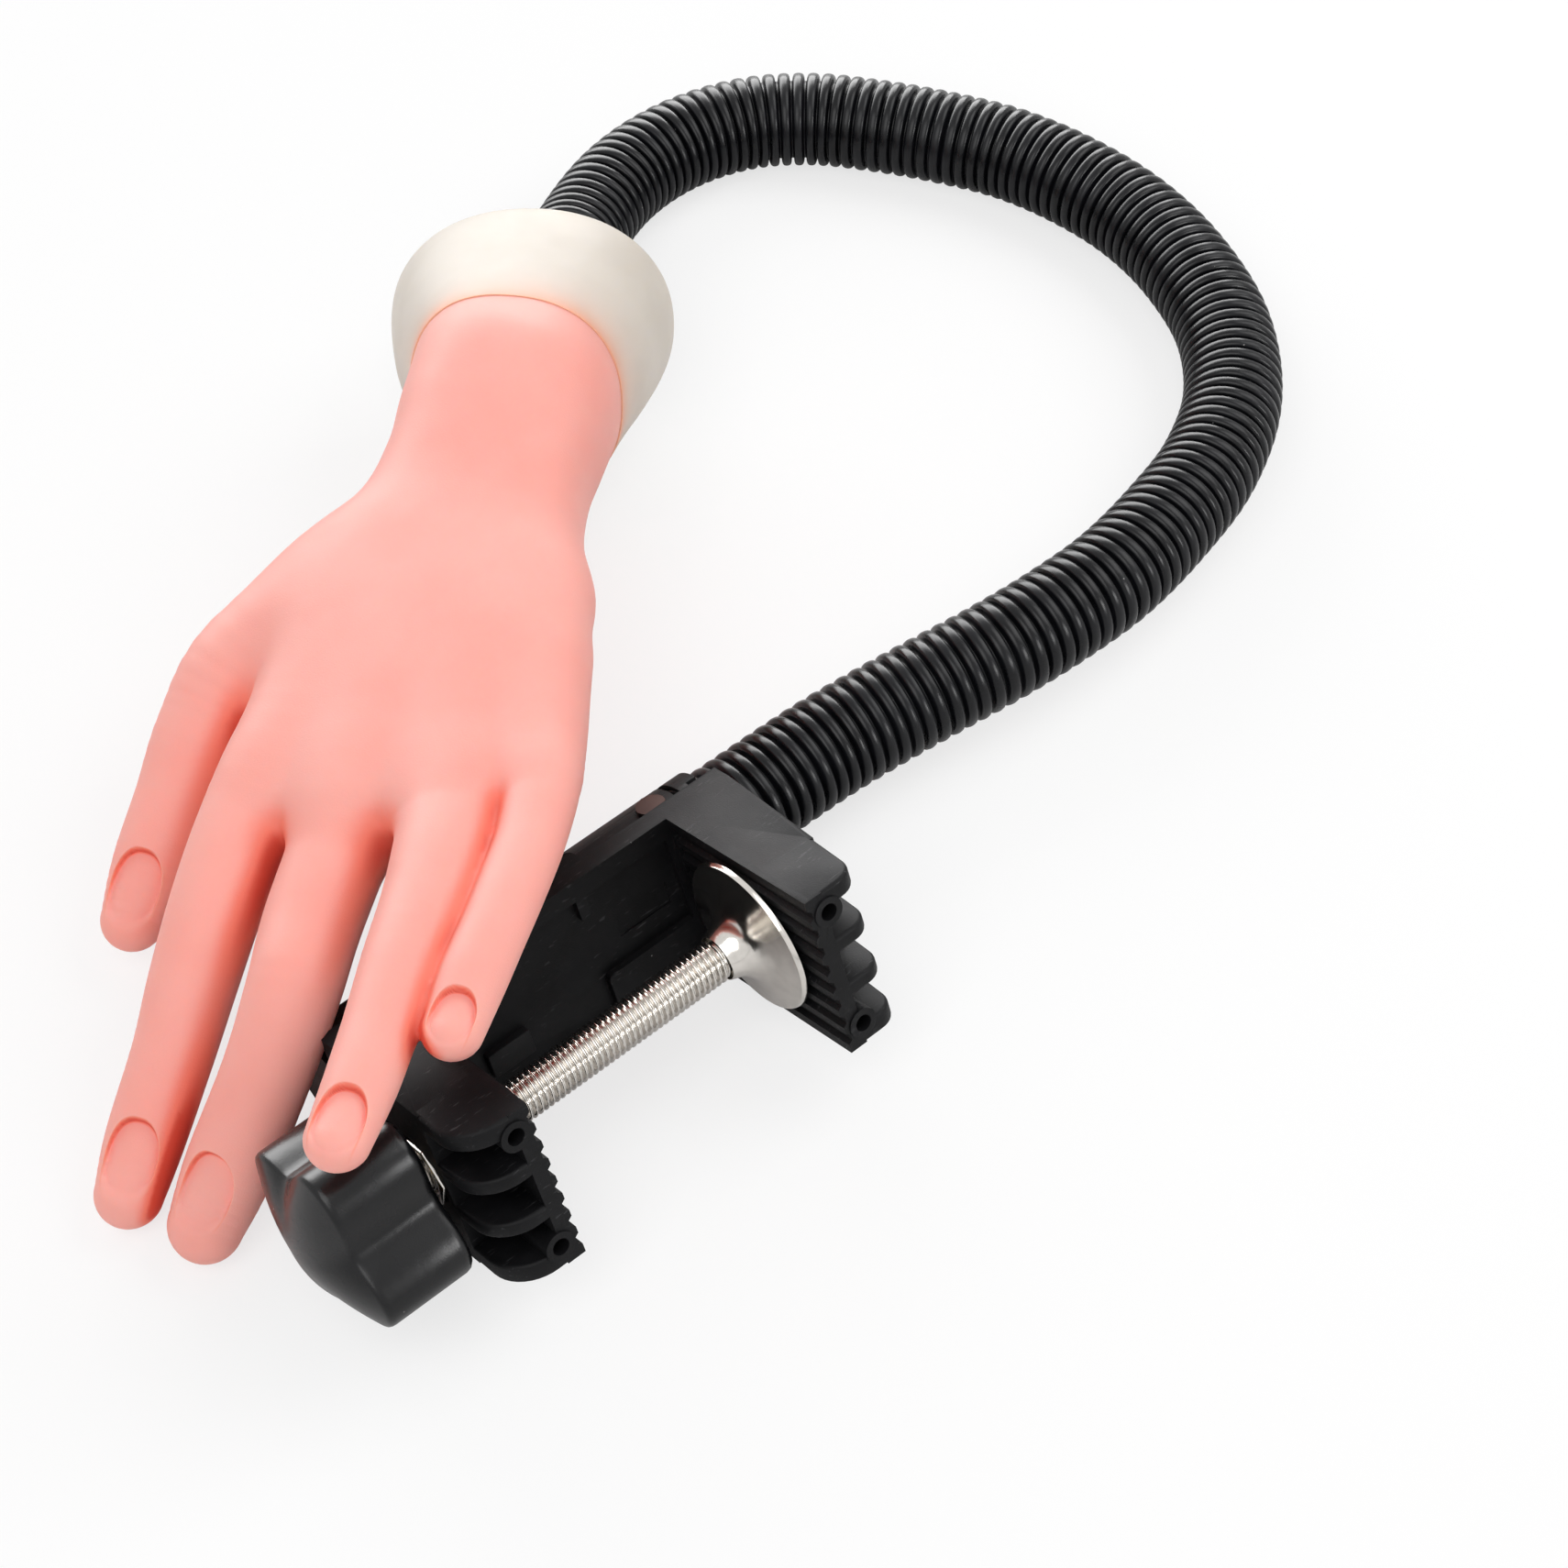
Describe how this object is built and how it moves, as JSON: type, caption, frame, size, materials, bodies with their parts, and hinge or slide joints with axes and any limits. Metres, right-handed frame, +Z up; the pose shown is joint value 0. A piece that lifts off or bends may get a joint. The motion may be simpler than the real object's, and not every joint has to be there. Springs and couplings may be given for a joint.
{
  "type": "nail practice hand",
  "caption": "Soft practice hand with nail recesses on a bendable ribbed arm, held by a screw clamp with a swivelling pressure pad.",
  "frame": {"origin": "bottom centre of the bounding box as the part lies in the picture: the clamp on the lower edge of its spine, the arm's far bend and two fingertips on the surface", "axes": "+X along the clamp's screw from the knob towards the arm's far bend, +Z up, the clamp's jaws open towards -Y"},
  "size_m": [0.3298, 0.2288, 0.0616],
  "materials": {
    "clamp_plastic": "fine moulded satin",
    "knob_plastic": "semi-gloss",
    "nickel": "bright nickel plate",
    "zinc_steel": "zinc plate",
    "brass": "turned",
    "gooseneck_steel": "wound wire and strip",
    "sleeve_plastic": "satin",
    "ferrule_plastic": "matte",
    "plug_plastic": "matte",
    "cuff_vinyl": "milky satin",
    "hand_vinyl": "soft, skin coloured, matte"
  },
  "bodies": {
    "clamp": {"clamp_frame": "clamp_plastic", "screw_nut": "nickel", "arm_anchor": "zinc_steel", "anchor_screw": "zinc_steel", "arm_core_1": "gooseneck_steel", "arm_sleeve_1": "sleeve_plastic"},
    "pad_pivot": {"pad_rivet": "zinc_steel"},
    "pad": {"pressure_pad": "nickel"},
    "screw": {"clamp_screw": "nickel", "clamp_knob": "knob_plastic", "knob_insert": "brass"},
    "arm_2": {"arm_core_2": "gooseneck_steel", "arm_sleeve_2": "sleeve_plastic"},
    "arm_3": {"arm_core_3": "gooseneck_steel", "arm_sleeve_3": "sleeve_plastic"},
    "arm_4": {"arm_core_4": "gooseneck_steel", "arm_sleeve_4": "sleeve_plastic"},
    "arm_end": {"arm_core_5": "gooseneck_steel", "arm_ferrule": "ferrule_plastic", "core_retainer": "zinc_steel", "wrist_plug": "plug_plastic", "wrist_cuff": "cuff_vinyl", "hand": "hand_vinyl"}
  },
  "joints": [
    {"name": "screw_travel", "type": "slide", "parent": "clamp", "child": "pad_pivot", "axis": [-1, 0, 0], "range_m": [0, 0.05]},
    {"name": "screw_turn", "type": "hinge", "parent": "pad_pivot", "child": "screw", "pos_m": [-0.04453, -0.08742, 0.02467], "axis": [-1, 0, 0], "range_deg": [0, 14390]},
    {"name": "pad_swivel", "type": "hinge", "parent": "pad_pivot", "child": "pad", "pos_m": [-0.04453, -0.08742, 0.02467], "axis": [-1, 0, 0], "continuous": true},
    {"name": "arm_bend_1", "type": "hinge", "parent": "clamp", "child": "arm_2", "pos_m": [0.00108, -0.05686, 0.01395], "axis": [-0.0313, 0.0024, 0.9995], "range_deg": [-45, 0], "deforming": ["arm_sleeve_1"]},
    {"name": "arm_bend_2", "type": "hinge", "parent": "arm_2", "child": "arm_3", "pos_m": [0.09581, -0.05846, 0.01545], "axis": [0.0679, 0.019, 0.9975], "range_deg": [-40, 0], "deforming": ["arm_sleeve_2"]},
    {"name": "arm_bend_3", "type": "hinge", "parent": "arm_3", "child": "arm_4", "pos_m": [0.15301, 0.00362, 0.01101], "axis": [0.0044, 0.0233, 0.9997], "range_deg": [-45, 0], "deforming": ["arm_sleeve_3"]},
    {"name": "arm_bend_4", "type": "hinge", "parent": "arm_4", "child": "arm_end", "pos_m": [0.10269, 0.10196, 0.01084], "axis": [0.2817, 0.9595, 0], "range_deg": [0, 35], "deforming": ["arm_sleeve_4"]}
  ],
  "couplings": [
    {"joint": "screw_travel", "follows": "screw_turn", "m_per_rad": 0.00019894}
  ]
}
